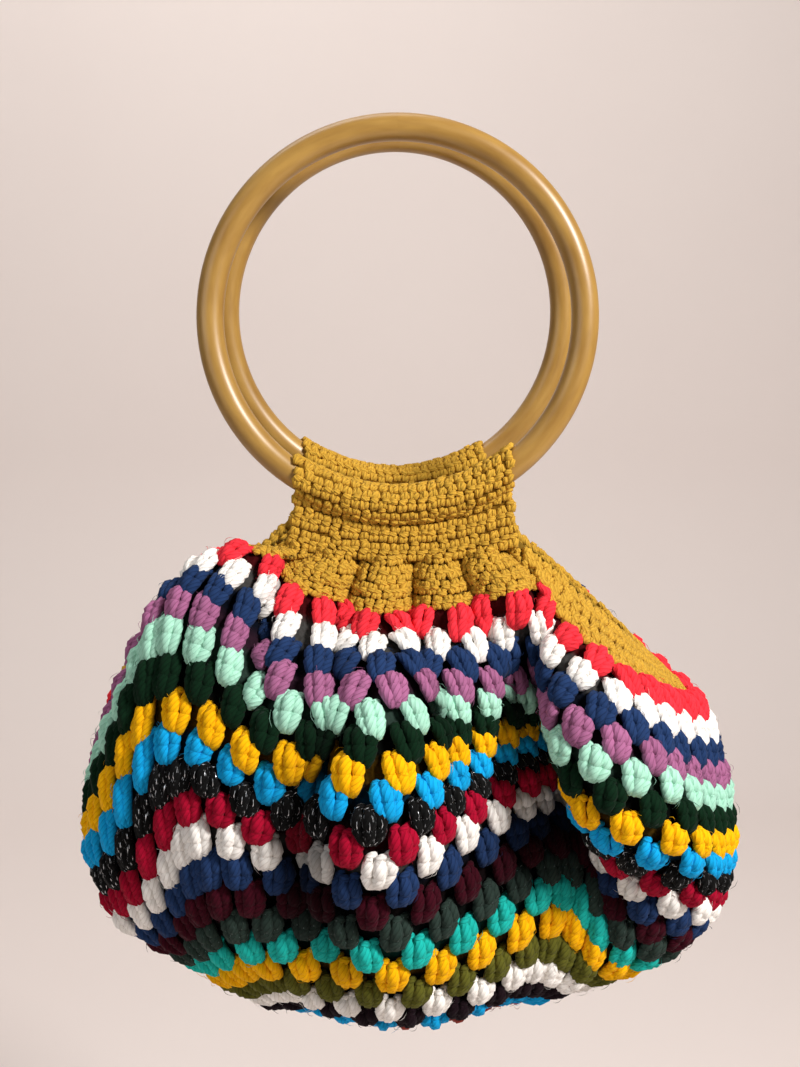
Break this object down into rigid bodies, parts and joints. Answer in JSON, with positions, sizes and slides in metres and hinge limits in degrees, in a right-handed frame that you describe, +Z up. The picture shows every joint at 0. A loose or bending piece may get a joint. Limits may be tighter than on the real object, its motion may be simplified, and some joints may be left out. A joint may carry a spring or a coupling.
{
  "type": "crocheted handbag with ring handles",
  "caption": "Slouchy crocheted handbag: a square of multicoloured clusters gathered onto mustard yokes that wrap ring handles, open at the sides.",
  "frame": {"origin": "inner top of the two rings, midway between them, where a hand or a hook carries the bag", "axes": "+Z up, the bag's front towards -Y, +X to the viewer's right in front of the bag"},
  "size_m": [0.3046, 0.2131, 0.4154],
  "materials": {
    "ring_tan": "satin moulded resin",
    "mustard": "matte plied yarn",
    "plum": "matte plied yarn",
    "straw": "matte plied yarn",
    "teal_blue": "matte plied yarn",
    "oatmeal": "matte plied yarn",
    "brick": "matte plied yarn",
    "sky_blue": "matte plied yarn",
    "dark_plum": "matte plied yarn",
    "off_white": "matte plied yarn",
    "olive": "tweed plied yarn",
    "golden": "matte plied yarn",
    "turquoise": "matte plied yarn",
    "grey_green": "plied yarn with metallic thread",
    "maroon": "matte plied yarn",
    "denim": "matte plied yarn",
    "crimson": "matte plied yarn",
    "sparkle_black": "plied yarn with metallic thread",
    "bottle_green": "matte plied yarn",
    "mint": "matte plied yarn",
    "mauve": "matte plied yarn",
    "coral_red": "matte plied yarn"
  },
  "bodies": {
    "bag": {"yoke_front": "mustard", "yoke_back": "mustard", "yoke_seam_front": "mustard", "yoke_seam_back": "mustard", "border": "mustard", "round_01_plum": "plum", "round_02_straw": "straw", "round_03_teal_blue": "teal_blue", "round_04_oatmeal": "oatmeal", "round_05_brick": "brick", "round_06_sky_blue": "sky_blue", "round_07_dark_plum": "dark_plum", "round_08_off_white": "off_white", "round_09_olive": "olive", "round_10_golden": "golden", "round_11_turquoise": "turquoise", "round_12_grey_green": "grey_green", "round_13_maroon": "maroon", "round_14_denim": "denim", "round_15_off_white": "off_white", "round_16_crimson": "crimson", "round_17_sparkle_black": "sparkle_black", "round_18_sky_blue": "sky_blue", "round_19_golden": "golden", "round_20_bottle_green": "bottle_green", "round_21_mint": "mint", "round_22_mauve": "mauve", "round_23_denim": "denim", "round_24_off_white": "off_white", "round_25_coral_red": "coral_red"},
    "front_handle": {"ring_handle_front": "ring_tan"},
    "back_handle": {"ring_handle_back": "ring_tan"}
  },
  "joints": [
    {"name": "front_ring_slide_round", "type": "hinge", "parent": "bag", "child": "front_handle", "pos_m": [0, -0.0305, -0.0755], "axis": [0, 0.9945, -0.1045], "continuous": true},
    {"name": "back_ring_slide_round", "type": "hinge", "parent": "bag", "child": "back_handle", "pos_m": [0, 0.0305, -0.0755], "axis": [-0.1736, 0.9848, 0], "continuous": true}
  ]
}
